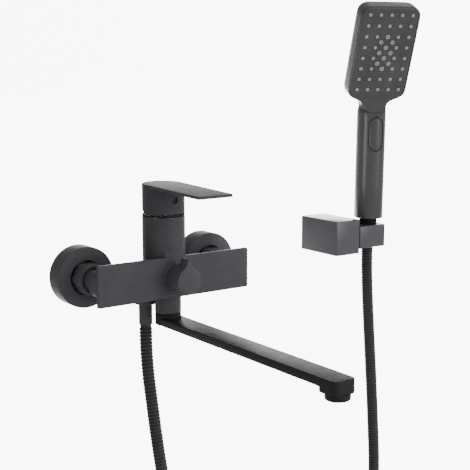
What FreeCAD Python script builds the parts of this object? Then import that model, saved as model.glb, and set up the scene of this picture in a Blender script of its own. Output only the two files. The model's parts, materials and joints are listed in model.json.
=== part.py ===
import FreeCAD, Part
import math
import os
import re
import Sketcher

# Wall mounted bath mixer with a swivel spout, a lever, a diverter, a hose,
# a hand shower and its wall bracket.  Millimetres.  +X runs along the wall to
# the right, +Y goes into the wall, +Z is up.  The origin lies on the wall
# face, midway between the two water inlets.

SIZES = [
    # wall inlets
    ("inlet_spacing", 150), ("inlet_thread_radius", 10.48), ("inlet_thread_length", 14),
    ("union_radius", 13.2), ("union_reach", 28), ("union_bore", 7), ("screen_thickness", 1.5),
    ("nut_flats", 30), ("nut_back", 20.5), ("nut_front", 36), ("nut_lip", 3), ("nut_bore", 13.3),
    ("tail_radius", 10.65), ("tail_flange_radius", 13), ("tail_flange", 3.5), ("tail_end", 50),
    ("tail_plug_radius", 8.45), ("tail_bore", 6),
    ("cover_radius", 31.2), ("cover_depth", 21.2), ("cover_wall", 1.6), ("cover_hole", 17.7),
    ("cover_bevel", 1.4), ("hub_front", 13.2), ("hub_back", 11.4), ("hub_hole", 13.3),
    # casting
    ("column_radius", 21.9), ("column_out", 48), ("column_bottom", -16), ("column_top", 59.3),
    ("plate_width", 178.6), ("plate_bottom", -21.9), ("plate_top", 19.9), ("plate_front", 71.75),
    ("plate_thickness", 4.5), ("plate_corner", 2.5), ("bar_radius", 13), ("bar_out", 54),
    ("bar_length", 174), ("bar_round", 8), ("body_level", -1), ("tail_spigot", 38.5),
    ("spout_out", 55), ("collar_radius", 13.5), ("collar_bottom", -39.8), ("stem_bore", 9.5),
    ("stem_bore_top", -14), ("chamber_radius", 17.7), ("chamber_floor", 20),
    ("chamber_thread_radius", 18.9), ("chamber_thread_bottom", 47.9), ("diverter_bore", 8),
    ("diverter_bore_end", 40), ("passage_radius", 4), ("cross_passage", 4.4),
    ("outlet_passage", 4.2), ("outlet_x", -12), ("outlet_out", 30),
    ("outlet_boss_radius", 11.5), ("outlet_boss_top", 6),
    # cartridge
    ("ring_radius", 21.7), ("ring_inner", 19.2), ("ring_height", 2), ("ring_gap", 0.25),
    ("lock_radius", 18.8), ("lock_inner", 14.2), ("lock_bottom", 48), ("lock_top", 57.5),
    ("seal_bottom", 20.1), ("seal_top", 22.3), ("housing_radius", 17.5), ("housing_bottom", 22.5),
    ("housing_shoulder", 47.8), ("housing_top", 56), ("housing_neck", 13.9), ("housing_bore", 13.5),
    ("housing_floor", 28), ("housing_mouth", 9), ("disc_radius", 13.3), ("disc_top", 32),
    ("slider_radius", 10.5), ("slider_top", 36), ("rotor_top", 45), ("rotor_bottom", 36.4),
    ("water_hole", 3), ("water_hole_out", 7),
    # lever
    ("pivot_level", 52), ("pin_radius", 1.5), ("pin_half", 7), ("ear_top", 54.2), ("skirt_radius", 21.7),
         ("skirt_wall", 3.1), ("skirt_bottom", 62.8),
    ("lever_under", 88), ("lever_top", 91), ("lever_end", 142.5), ("lever_end_half", 20.2),
    ("lever_boss", 8), ("lever_boss_bottom", 70), ("stem_radius", 4), ("stem_bottom", 37.5),
    ("stem_top", 82), ("screw_level", 77), ("screw_radius", 2.5), ("plug_radius", 3.7),
    ("relief_rise", 12), ("relief_run", 28),
    # diverter
    ("flange_radius", 15.5), ("flange_front", 73.2), ("sleeve_radius", 7.9), ("sleeve_end", 62),
    ("spindle_radius", 3.45), ("spindle_hole", 3.5), ("core_end", 44), ("knob_radius", 13.8),
    ("knob_back", 74), ("knob_front", 96), ("knob_floor", 91), ("tab_top", 20.5), ("tab_half", 2.5),
    ("tab_back", 83), ("grub_radius", 2),
    # spout
    ("arm_half", 12.5), ("arm_top", -44.6), ("arm_bottom", -52.4), ("arm_end", 329.5),
    ("arm_corner", 6), ("root_top", -41), ("root_radius", 13.4), ("outlet_at", 318.8),
    ("nose_back", 306), ("nose_bottom", -57.5), ("channel_half", 9), ("channel_top", -46.6),
    ("channel_bottom", -50.4), ("stem_tube_radius", 9.42), ("stem_tube_bore", 6),
    ("stem_tube_top", -15.5), ("groove_radius", 7.9), ("seal_major", 8.5), ("seal_minor", 0.85),
    ("seal_one", -20), ("seal_two", -28), ("clip_groove", -35.5), ("clip_screw_radius", 1.5),
    ("aerator_radius", 11.2), ("aerator_thread", 8.5), ("aerator_bottom", -63.5), ("aerator_bore", 8.6),
    # hose and its mixer end
    ("hose_radius", 6.8), ("hose_end", 9.5), ("nipple_radius", 10.48), ("nipple_shank", 7),
         ("nipple_bottom", -26),
    ("nipple_bore", 4.5), ("hose_nut_radius", 12.2), ("hose_nut_top", -18), ("hose_nut_bottom", -34),
    ("ferrule_radius", 7), ("ferrule_bottom", -56), ("ferrule_flange", 10), ("valve_bottom", -24),
    # wall bracket
    ("bracket_left", 221), ("bracket_width", 34.5), ("bracket_depth", 63.5), ("bracket_bottom", -5.5),
    ("bracket_height", 39.5), ("bracket_wall", 2.5), ("bracket_plate", 5), ("bracket_play", 0.3),
    ("bracket_hole", 2.3), ("bracket_hole_spacing", 20), ("holder_left", 256.3), ("holder_width", 39),
    ("holder_depth", 30), ("holder_height", 26), ("holder_level", 12.5), ("holder_x", 281.6),
    ("pivot_radius", 3), ("bush_radius", 12.8), ("bush_top", 12.1), ("bush_end", 10.2),
    ("cone_tilt", 1), ("washer_radius", 9),
    # cone nut and hand shower, along the tilted axis from the middle of the holder
    ("cone_top", 13), ("cone_top_radius", 12), ("cone_end_radius", 10.1), ("cone_bore", 7.2),
    ("cone_thread", 10.55), ("cone_floor", 3), ("neck_radius", 10.48), ("handle_bottom", 20.5),
    ("handle_radius", 16.2), ("handle_bore", 13.9), ("handle_top", 150), ("bore_top", 134.5),
         ("scoop_drop", 6.2), ("handset_yaw", -20),
    ("chin_level", 144.4), ("chin_out", 6), ("face_tilt", 21.3), ("face_half", 35), ("face_height", 124.2),
    ("chin_half", 13), ("head_depth", 21), ("head_wall", 2.4), ("face_gap", 0.4), ("face_sheet", 2.6),
    ("nozzle_pitch", 12.57), ("nozzle_first", 27.1), ("nozzle_small", 1.5), ("nozzle_large", 2.1),
    ("nozzle_play", 0.35), ("nozzle_stand", 0.9), ("mat_sheet", 1.6), ("spray_plate", 1.8),
    ("button_level", 118.5), ("button_half", 8.2), ("button_length", 38), ("button_front", 16.6),
    ("button_rear", 10.6), ("button_play", 0.35), ("tube_radius", 7.4), ("tube_bore", 6),
]
ALIASES = {name for name, _ in SIZES}
UPWARD = FreeCAD.Rotation()
OUTWARD = FreeCAD.Rotation(FreeCAD.Vector(1, 0, 0), 90)
RIGHTWARD = FreeCAD.Rotation(FreeCAD.Vector(0, 1, 0), 90)
HEX_STEP = FreeCAD.Rotation(FreeCAD.Vector(0, 0, 1), 30)

doc = FreeCAD.newDocument("bath_mixer")
sheet = doc.addObject("Spreadsheet::Sheet", "Sizes")
for row, (name, value) in enumerate(SIZES, start=1):
    sheet.set(f"A{row}", name)
    sheet.set(f"B{row}", str(value))
    sheet.setAlias(f"B{row}", name)
doc.recompute()
pieces = []


def size(name):
    return float(sheet.get(name))


def formula(text):
    """An expression in which each size's name points at its cell."""
    return re.sub(r"[a-z_0-9]+", lambda word: "Sizes." + word[0] if word[0] in ALIASES else word[0], text)


def bind(thing, **formulas):
    for name, text in formulas.items():
        thing.setExpression(name, formula(text))
    return thing


def put(thing, at, turn=UPWARD):
    thing.Placement = FreeCAD.Placement(FreeCAD.Vector(), turn)
    for axis, text in zip("xyz", at or ()):
        thing.setExpression(f"Placement.Base.{axis}", formula(text))
    return thing


def cylinder(radius, height, at, turn=UPWARD):
    return put(bind(doc.addObject("Part::Cylinder", "cylinder"), Radius=radius, Height=height), at, turn)


def box(length, width, height, at, turn=UPWARD):
    shape = doc.addObject("Part::Box", "block")
    return put(bind(shape, Length=length, Width=width, Height=height), at, turn)


def torus(major, minor, at, turn=UPWARD):
    return put(bind(doc.addObject("Part::Torus", "ring"), Radius1=major, Radius2=minor), at, turn)


def hexagon(flats, height, at, turn):
    shape = doc.addObject("Part::Prism", "hexagon")
    shape.Polygon = 6
    return put(bind(shape, Circumradius=f"({flats}) / sqrt(3)", Height=height), at, turn * HEX_STEP)


def wedge(at, **formulas):
    return put(bind(doc.addObject("Part::Wedge", "wedge"), **formulas), at)


def fuse(*shapes):
    joined = doc.addObject("Part::MultiFuse", "joined")
    joined.Shapes = list(shapes)
    return joined


def cut(base, *tools):
    result = doc.addObject("Part::Cut", "cut")
    result.Base = base
    result.Tool = tools[0] if len(tools) == 1 else fuse(*tools)
    return result


def round_edges(base, radius, chosen):
    """Round the edges of base for which chosen(edge) is true."""
    doc.recompute()
    rounded = doc.addObject("Part::Fillet", "rounded")
    rounded.Base = base
    picked = [n for n, edge in enumerate(base.Shape.Edges, start=1) if chosen(edge)]
    rounded.Edges = [(n, size(radius), size(radius)) for n in picked]
    return rounded


def sketch_outline(body, points):
    """A closed outline on the body's XY plane, each corner bound to its two formulas."""
    sketch = body.newObject("Sketcher::SketchObject", "outline")
    plane = next(f for f in body.Origin.OriginFeatures if f.Role == "XY_Plane")
    sketch.AttachmentSupport = [(plane, "")]
    sketch.MapMode = "FlatFace"
    corners = [FreeCAD.Vector(evaluate(u), evaluate(v), 0) for u, v in points]
    for here, there in zip(corners, corners[1:] + corners[:1]):
        sketch.addGeometry(Part.LineSegment(here, there))
    count = len(points)
    for n in range(count):
        sketch.addConstraint(Sketcher.Constraint("Coincident", n, 2, (n + 1) % count, 1))
    for n, (u, v) in enumerate(points):
        for kind, text, value in (("DistanceX", u, corners[n].x), ("DistanceY", v, corners[n].y)):
            index = sketch.addConstraint(Sketcher.Constraint(kind, -1, 1, n, 1, value))
            sketch.setExpression(f"Constraints[{index}]", formula(text))
    return sketch


def evaluate(text):
    """The value that a formula has now."""
    return float(sheet.evalExpression(re.sub(r"[a-z_0-9]+", lambda w: repr(size(w[0])) if w[0] in ALIASES
                                             else w[0], text)))


def turned(label, profile, at=None, turn=UPWARD):
    """A turned piece: profile is a closed outline of (radius, height) formulas."""
    body = doc.addObject("PartDesign::Body", label)
    sketch = sketch_outline(body, profile)
    revolution = body.newObject("PartDesign::Revolution", "turning")
    revolution.Profile = sketch
    revolution.ReferenceAxis = (sketch, ["V_Axis"])
    revolution.Angle = 360
    # the sketch's vertical axis is Y, so the piece is stood up along its own Z
    return put(body, at, turn * OUTWARD)


def padded(label, points, length):
    body = doc.addObject("PartDesign::Body", label)
    pad = body.newObject("PartDesign::Pad", "thickness")
    pad.Profile = sketch_outline(body, points)
    bind(pad, Length=length)
    return body


def piece(shape, label):
    shape.Label = label
    pieces.append(shape)
    return shape


def tube_profile(outer, inner, low, high):
    return [(inner, low), (outer, low), (outer, high), (inner, high)]


# ---------------------------------------------------------------- wall inlets

def inlet(side, sign):
    centre = f"{sign} * inlet_spacing / 2"
    level = "body_level"
    at_wall = (centre, "0", level)
    union = [("union_bore", "-inlet_thread_length"), ("inlet_thread_radius", "-inlet_thread_length"),
             ("inlet_thread_radius", "0"), ("union_radius", "0"), ("union_radius", "union_reach"),
             ("union_bore", "union_reach")]
    piece(turned("inlet_union_" + side, union, at_wall, OUTWARD), "inlet_union_" + side)
    screen = cylinder("union_radius - 0.2", "screen_thickness", (centre, "-union_reach", level), OUTWARD)
    holes = [cylinder("union_bore / 4", "screen_thickness + 2",
                      (f"{centre} + {dx} * union_bore / 1.6", "1 - union_reach",
                       f"{level} + {dz} * union_bore / 1.6"),
                      OUTWARD) for dx, dz in ((-1, 0), (0, 0), (1, 0), (0, 1), (0, -1))]
    piece(cut(screen, *holes), "filter_screen_" + side)
    nut = hexagon("nut_flats", "nut_front - nut_back", (centre, "-nut_back", level), OUTWARD)
    cavity = cylinder("nut_bore", "nut_front - nut_back - nut_lip + 1", (centre, "1 - nut_back", level),
                      OUTWARD)
    mouth = cylinder("tail_radius + 0.15", "nut_front - nut_back + 2", (centre, "1 - nut_back", level),
                     OUTWARD)
    piece(cut(nut, cavity, mouth), "union_nut_" + side)
    front = "nut_front - nut_lip"
    tail = [("tail_bore", f"{front} - tail_flange"), ("tail_flange_radius", f"{front} - tail_flange"),
            ("tail_flange_radius", front), ("tail_radius", front), ("tail_radius", "tail_spigot"),
            ("tail_plug_radius", "tail_spigot"), ("tail_plug_radius", "tail_end"), ("tail_bore", "tail_end")]
    piece(turned("inlet_tail_" + side, tail, at_wall, OUTWARD), "inlet_tail_" + side)
    cover = [("cover_radius - cover_wall", "0"), ("cover_radius", "0"),
             ("cover_radius", "cover_depth - cover_bevel"), ("cover_radius - cover_bevel", "cover_depth"),
             ("cover_hole", "cover_depth"), ("cover_hole", "hub_front"), ("hub_hole", "hub_front"),
             ("hub_hole", "hub_back"), ("cover_hole + cover_wall", "hub_back"),
             ("cover_hole + cover_wall", "cover_depth - cover_wall"),
             ("cover_radius - cover_bevel - 0.6", "cover_depth - cover_wall"),
             ("cover_radius - cover_wall", "cover_depth - cover_bevel - 0.6")]
    piece(turned("wall_cover_" + side, cover, at_wall, OUTWARD), "wall_cover_" + side)


# -------------------------------------------------------------------- casting

def mixer_body():
    axis_y = "-column_out"
    column = cylinder("column_radius", "column_top - column_bottom", ("0", axis_y, "column_bottom"))
    collar = cylinder("collar_radius", "-collar_bottom - 8", ("0", "-spout_out", "collar_bottom"))
    plate = box("plate_width", "plate_thickness", "plate_top - plate_bottom",
                ("-plate_width / 2", "-plate_front", "plate_bottom"))
    corner_low = size("plate_bottom")
    corner_high = size("plate_top")
    plate = round_edges(plate, "plate_corner", lambda edge: edge.BoundBox.YLength > 1
                        and (abs(edge.BoundBox.ZMin - corner_low) < 0.01
                             or abs(edge.BoundBox.ZMin - corner_high) < 0.01))
    bar = cylinder("bar_radius", "bar_length", ("-bar_length / 2", "-bar_out", "body_level"), RIGHTWARD)
    bar = round_edges(bar, "bar_round", lambda edge: edge.BoundBox.XLength < 0.01)
    boss = cylinder("outlet_boss_radius", "outlet_boss_top - column_bottom",
                    ("outlet_x", "-outlet_out", "column_bottom"))
    spigots = [cylinder("tail_radius", "bar_out - tail_spigot",
                        (f"{sign} * inlet_spacing / 2", "-tail_spigot", "body_level"),
                        OUTWARD) for sign in (-1, 1)]
    solid = fuse(column, collar, plate, bar, boss, *spigots)
    hollows = [
        cylinder("chamber_radius", "column_top - chamber_floor + 1", ("0", axis_y, "chamber_floor")),
        cylinder("chamber_thread_radius", "column_top - chamber_thread_bottom + 1",
                 ("0", axis_y, "chamber_thread_bottom")),
        cylinder("stem_bore", "stem_bore_top - collar_bottom + 1", ("0", "-spout_out", "collar_bottom - 1")),
        cylinder("diverter_bore", "plate_front - diverter_bore_end + 1",
                 ("0", "-diverter_bore_end", "body_level"), OUTWARD),
        cylinder("passage_radius", "chamber_floor - body_level + 1", ("0", axis_y, "body_level")),
        cylinder("passage_radius", "body_level - stem_bore_top + 1",
                 ("0", "-spout_out", "stem_bore_top - 1")),
        cylinder("cross_passage", "diverter_bore_end - outlet_out + 3", ("0", "1 - outlet_out", "body_level"),
                 OUTWARD),
        cylinder("passage_radius", "1 - outlet_x", ("outlet_x - 0.5", "-outlet_out", "body_level"),
                 RIGHTWARD),
        cylinder("outlet_passage", "body_level - column_bottom - 6", ("outlet_x", "-outlet_out",
                                                                     "column_bottom + 6")),
        cylinder("nipple_shank + 0.05", "8.5", ("outlet_x", "-outlet_out", "column_bottom - 0.5")),
        cylinder("clip_screw_radius + 0.05", "10", ("0", "-spout_out + collar_radius - 7", "clip_groove"),
                 OUTWARD.inverted()),
    ]
    for sign in (-1, 1):
        inner = "-inlet_spacing / 2" if sign < 0 else "11"
        hollows += [
            cylinder("tail_plug_radius + 0.05", "tail_end - tail_spigot + 2",
                     (f"{sign} * inlet_spacing / 2", "1 - tail_spigot", "body_level"), OUTWARD),
            cylinder("cross_passage", "inlet_spacing / 2 - 11", (inner, "-bar_out", "body_level"), RIGHTWARD),
            cylinder("passage_radius - 0.5", "chamber_floor - body_level + 1",
                     (f"{sign} * 12.2", "-bar_out", "body_level")),
        ]
    piece(cut(solid, *hollows), "mixer_body")


def cartridge():
    at = ("0", "-column_out", "0")
    ring = tube_profile("ring_radius", "ring_inner", "column_top + ring_gap",
                        "column_top + ring_gap + ring_height")
    piece(turned("bonnet_ring", ring, at), "bonnet_ring")
    lock = tube_profile("lock_radius", "lock_inner", "lock_bottom", "lock_top")
    piece(turned("cartridge_lock_nut", lock, at), "cartridge_lock_nut")
    housing = [("0.01 + 0", "housing_bottom"), ("housing_radius", "housing_bottom"),
               ("housing_radius", "housing_shoulder"), ("housing_neck", "housing_shoulder"),
               ("housing_neck", "housing_top"), ("housing_mouth", "housing_top"),
               ("housing_mouth", "rotor_top + 0.3"), ("housing_bore", "rotor_top + 0.3"),
               ("housing_bore", "housing_floor"), ("0.01 + 0", "housing_floor")]
    shell = turned("cartridge_shell", housing, at)
    ports = [cylinder("water_hole", "housing_floor - housing_bottom + 2",
                      (f"{dx} * water_hole_out", f"-column_out + {dy} * water_hole_out",
                       "housing_bottom - 1"))
             for dx, dy in ((-1, 0.6), (1, 0.6), (0, -0.9))]
    core = cylinder("1", "housing_floor - housing_bottom", ("0", "-column_out", "housing_bottom"))
    piece(cut(fuse(shell, core), *ports), "cartridge_housing")

    def ported_disc(label, radius, low, high):
        disc = cylinder(radius, f"{high} - ({low})", ("0", "-column_out", low))
        holes = [cylinder("water_hole", f"{high} - ({low}) + 2",
                          (f"{dx} * water_hole_out", f"-column_out + {dy} * water_hole_out", f"{low} - 1"))
                 for dx, dy in ((-1, 0.6), (1, 0.6), (0, -0.9))]
        piece(cut(disc, *holes), label)

    ported_disc("cartridge_base_seal", "housing_radius - 0.2", "seal_bottom", "seal_top")
    ported_disc("fixed_disc", "disc_radius", "housing_floor + 0.1", "disc_top")
    slider = cylinder("slider_radius", "slider_top - disc_top - 0.1", ("0", "-column_out", "disc_top + 0.1"))
    pocket = cylinder("slider_radius / 2", "2", ("0", "-column_out", "disc_top"))
    piece(cut(slider, pocket), "moving_disc")
    rotor = cylinder("housing_bore - 0.1", "rotor_top - rotor_bottom", ("0", "-column_out", "rotor_bottom"))
    slot = box("2 * stem_radius + 0.8", "2 * stem_radius + 8", "rotor_top - rotor_bottom + 2",
               ("-stem_radius - 0.4", "-column_out - stem_radius - 7", "rotor_bottom - 1"))
    ears = [box("2.6", "6", "ear_top - rotor_top + 1", (x, "-column_out - 3", "rotor_top - 1"))
            for x in ("stem_radius + 0.6", "-stem_radius - 3.2")]
    pin_hole = cylinder("pin_radius", "2 * pin_half + 2", ("-pin_half - 1", "-column_out", "pivot_level"),
                        RIGHTWARD)
    piece(cut(fuse(cut(rotor, slot), *ears), pin_hole), "cartridge_rotor")
    piece(cylinder("pin_radius", "2 * pin_half", ("-pin_half", "-column_out", "pivot_level"), RIGHTWARD),
          "lever_pivot_pin")


def lever():
    height = "lever_under - skirt_bottom"
    skirt = cylinder("skirt_radius", height, ("0", "-column_out", "skirt_bottom"))
    hollow = cylinder("skirt_radius - skirt_wall", f"{height} - 1.5",
                      ("0", "-column_out", "skirt_bottom - 1"))
    relief = wedge(("0", "-column_out", "skirt_bottom - 5"), Xmin="-skirt_radius - 3",
                   Xmax="skirt_radius + 3",
                   X2min="-skirt_radius - 3", X2max="skirt_radius + 3", Ymin="0 * relief_run",
                   Ymax="relief_run",
                   Zmin="0 * relief_run", Zmax="5 + 0 * relief_run", Z2min="0 * relief_run",
                   Z2max="5 + relief_rise")
    boss = cylinder("lever_boss", "lever_under - lever_boss_bottom",
                    ("0", "-column_out", "lever_boss_bottom"))
    disc = cylinder("skirt_radius", "lever_top - lever_under", ("0", "-column_out", "lever_under"))
    blade = wedge(("0", "-lever_end", "lever_under"), Xmin="-lever_end_half", Xmax="lever_end_half",
                  X2min="-skirt_radius", X2max="skirt_radius", Ymin="0 * lever_end",
                  Ymax="lever_end - column_out", Zmin="0 * lever_end", Zmax="lever_top - lever_under",
                  Z2min="0 * lever_end", Z2max="lever_top - lever_under")
    socket = cylinder("stem_radius + 0.05", "stem_top - lever_boss_bottom + 1",
                      ("0", "-column_out", "lever_boss_bottom - 1"))
    plug_hole = cylinder("plug_radius + 0.1", "skirt_wall + 2",
                         ("0", "-column_out - skirt_radius + skirt_wall + 1",
                                                                 "screw_level"), OUTWARD)
    screw_hole = cylinder("screw_radius + 0.05", "lever_boss",
                          ("0", "-column_out - stem_radius + 0.5", "screw_level"),
                          OUTWARD)
    solid = fuse(cut(skirt, hollow, relief), boss, disc, blade)
    piece(cut(solid, socket, plug_hole, screw_hole), "lever_handle")
    stem = cylinder("stem_radius", "stem_top - stem_bottom", ("0", "-column_out", "stem_bottom"))
    eye = cylinder("pin_radius + 0.05", "2 * pin_half", ("-pin_half", "-column_out", "pivot_level"),
                   RIGHTWARD)
    piece(cut(stem, eye), "lever_stem")
    screw = cylinder("screw_radius", "lever_boss - stem_radius", ("0", "-column_out - stem_radius - 0.05",
                                                                  "screw_level"), OUTWARD)
    key = hexagon("2.5", "3", ("0", "-column_out - lever_boss + 2", "screw_level"), OUTWARD)
    piece(cut(screw, key), "lever_screw")
    piece(cylinder("plug_radius", "skirt_wall - 1.4",
                   ("0", "-column_out - skirt_radius + skirt_wall", "screw_level"),
                   OUTWARD), "lever_plug")


def diverter():
    at = ("0", "0", "body_level")
    housing = [("spindle_hole", "sleeve_end"), ("sleeve_radius", "sleeve_end"),
               ("sleeve_radius", "plate_front + 0.05"),
               ("flange_radius", "plate_front + 0.05"), ("flange_radius", "flange_front"),
               ("spindle_hole", "flange_front")]
    piece(turned("diverter_housing", housing, at, OUTWARD), "diverter_housing")
    core = cylinder("sleeve_radius", "sleeve_end - core_end - 0.5", ("0", "-core_end", "body_level"), OUTWARD)
    port = cylinder("passage_radius", "2 * diverter_bore",
                    ("0", "-column_out - 3", "body_level - diverter_bore"))
    piece(cut(core, port), "diverter_core")
    piece(cylinder("spindle_radius", "knob_floor - 1.1 - sleeve_end + 0.5",
                   ("0", "0.5 - sleeve_end", "body_level"),
                   OUTWARD), "diverter_spindle")
    knob = cylinder("knob_radius", "knob_front - knob_back", ("0", "-knob_back", "body_level"), OUTWARD)
    tab = box("2 * tab_half", "knob_front - tab_back", "tab_top - body_level",
              ("-tab_half", "-knob_front", "body_level"))
    flare = padded("knob_flare",
                   [("-knob_radius * 0.82", "knob_radius * 0.5"), ("knob_radius * 0.82", "knob_radius * 0.5"),
                                  ("tab_half", "tab_top - body_level - 2"),
                                  ("-tab_half", "tab_top - body_level - 2")],
                   "4")
    put(flare, ("0", "4 - knob_front", "body_level"), OUTWARD)
    hole = cylinder("spindle_radius", "knob_floor - knob_back", ("0", "1 - knob_back", "body_level"), OUTWARD)
    seat = cylinder("grub_radius + 0.05", "knob_radius",
                    ("0", "-knob_back - 7", "body_level - knob_radius - 3"))
    piece(cut(fuse(knob, tab, flare), hole, seat), "diverter_knob")
    piece(cylinder("grub_radius", "knob_radius - spindle_radius - 1.5", ("0", "-knob_back - 7",
                                                                       "body_level - knob_radius + 1")),
                                                                       "knob_screw")


# ---------------------------------------------------------------------- spout

def spout():
    axis = ("0", "-spout_out", "0")
    root = cylinder("root_radius", "root_top - arm_bottom", ("0", "-spout_out", "arm_bottom"))
    arm = box("2 * arm_half", "arm_end - spout_out", "arm_top - arm_bottom",
              ("-arm_half", "-arm_end", "arm_bottom"))
    nose = box("2 * arm_half", "arm_end - nose_back", "arm_top - nose_bottom",
               ("-arm_half", "-arm_end", "nose_bottom"))
    bar = fuse(arm, nose)
    end_y = -size("arm_end")
    bar = round_edges(bar, "arm_corner", lambda edge: edge.BoundBox.ZLength > 5
                      and edge.BoundBox.YLength < 0.01 and abs(edge.BoundBox.YMin - end_y) < 0.1)
    channel = box("2 * channel_half", "outlet_at - spout_out", "channel_top - channel_bottom",
                  ("-channel_half", "-outlet_at", "channel_bottom"))
    drop = cylinder("stem_tube_bore", "root_top - channel_bottom + 1", ("0", "-spout_out", "channel_bottom"))
    mouth = cylinder("aerator_bore", "channel_bottom - nose_bottom + 2",
                     ("0", "-outlet_at", "nose_bottom - 1"))
    piece(cut(fuse(root, bar), channel, drop, mouth), "spout_arm")
    stem = [("stem_tube_bore", "root_top")]
    stem += [("stem_tube_radius", "root_top")]
    for level, half in (("clip_groove", "clip_screw_radius + 0.4"), ("seal_two", "seal_minor + 0.15"),
                        ("seal_one", "seal_minor + 0.15")):
        depth = "groove_radius" if level == "clip_groove" else "seal_major - seal_minor - 0.05"
        stem += [("stem_tube_radius", f"{level} - ({half})"), (depth, f"{level} - ({half})"),
                 (depth, f"{level} + {half}"), ("stem_tube_radius", f"{level} + {half}")]
    stem += [("stem_tube_radius", "stem_tube_top"), ("stem_tube_bore", "stem_tube_top")]
    piece(turned("spout_stem", stem, axis), "spout_stem")
    piece(fuse(*[torus("seal_major", "seal_minor", ("0", "-spout_out", level)) for level in ("seal_one",
                                                                                             "seal_two")]),
          "spout_seals")
    piece(cylinder("clip_screw_radius", "4.2", ("0", "-spout_out + groove_radius + 0.8", "clip_groove"),
                   OUTWARD.inverted()), "spout_retaining_screw")
    washer = tube_profile("collar_radius - 0.9", "stem_bore + 0.1", "root_top + 0.1", "collar_bottom - 0.1")
    piece(turned("spout_slip_washer", washer, axis), "spout_slip_washer")
    at = ("0", "-outlet_at", "0")
    aerator = [("aerator_thread - 1.1", "aerator_bottom"), ("aerator_radius", "aerator_bottom"),
               ("aerator_radius", "nose_bottom"), ("aerator_thread", "nose_bottom"),
               ("aerator_thread", "nose_bottom + 4.5"), ("aerator_thread - 1.1", "nose_bottom + 4.5")]
    piece(turned("aerator_housing", aerator, at), "aerator_housing")
    insert = cylinder("aerator_thread - 1.15", "8", ("0", "-outlet_at", "aerator_bottom + 1"))
    jets = [cylinder("0.8", "10", (f"{dx} * 2.6", f"-outlet_at + {dy} * 2.6", "aerator_bottom"))
            for dx in (-2, -1, 0, 1, 2) for dy in (-2, -1, 0, 1, 2) if dx * dx + dy * dy < 5]
    piece(cut(insert, *jets), "aerator_insert")


# ----------------------------------------------------------------------- hose

HOSE_ROUTE = [
    (-12.0, -30.0, -56.0), (-12.0, -30.0, -78.0), (-11.2, -31.6, -106.0), (-8.6, -34.0, -137.5),
    (-5.0, -36.0, -174.0), (0.0, -38.5, -217.0), (8.5, -41.5, -268.0), (19.0, -44.5, -330.0),
    (37.0, -47.5, -385.0), (66.0, -50.5, -432.0), (106.0, -53.0, -461.0), (154.0, -55.5, -472.0),
    (202.0, -58.0, -460.0), (243.0, -60.0, -428.0), (272.0, -61.0, -380.0), (287.0, -61.3, -326.0),
    (289.5, -60.5, -272.0), (287.0, -58.7, -215.0), (284.9, -56.3, -158.0), (283.1, -52.8, -103.0),
    (281.9, -49.4, -51.0), (281.6, -48.064, -12.5), (281.6, -48.6655, 21.977),
]
HOSE_SPLIT = 19      # the upper stretch starts half way along the run after this point


def route_edges(points):
    """Straight runs joined by tangent arcs, and the middle of the run after HOSE_SPLIT."""
    corners = [FreeCAD.Vector(*p) for p in points]
    edges, here = [], corners[0]
    split_at = None
    for n in range(1, len(corners) - 1):
        back = corners[n - 1] - corners[n]
        ahead = corners[n + 1] - corners[n]
        half_turn = (math.pi - back.getAngle(ahead)) / 2
        reach = 0.45 * min(back.Length, ahead.Length)
        radius = reach / math.tan(half_turn)
        print(f"hose corner {n}: radius {radius:.0f} mm, turn {2 * math.degrees(half_turn):.1f} degrees")
        back.normalize()
        ahead.normalize()
        start = corners[n] + back * reach
        finish = corners[n] + ahead * reach
        inward = back + ahead
        inward.normalize()
        middle = corners[n] + inward * (radius / math.cos(half_turn) - radius)
        if n - 1 == HOSE_SPLIT:
            split_at = len(edges) + 1
            centre = (here + start) * 0.5
            edges.append(Part.LineSegment(here, centre).toShape())
            here = centre
        edges.append(Part.LineSegment(here, start).toShape())
        edges.append(Part.Arc(start, middle, finish).toShape())
        here = finish
    edges.append(Part.LineSegment(here, corners[-1]).toShape())
    return edges[:split_at], edges[split_at:]


def hose_tube(label, edges):
    path = Part.Wire(edges)
    start = edges[0].Vertexes[0].Point
    ring = Part.Circle(start, edges[0].tangentAt(edges[0].FirstParameter), size("hose_radius"))
    shape = path.makePipeShell([Part.Wire([ring.toShape()])], True, False)
    expected = math.pi * size("hose_radius") ** 2 * path.Length
    print(f"{label}: length {path.Length:.0f} mm, volume {shape.Volume / expected:.4f} of section times length")
    tube = doc.addObject("Part::Feature", label)
    tube.Shape = shape
    tube.Placement = FreeCAD.Placement()
    piece(tube, label)


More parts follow.
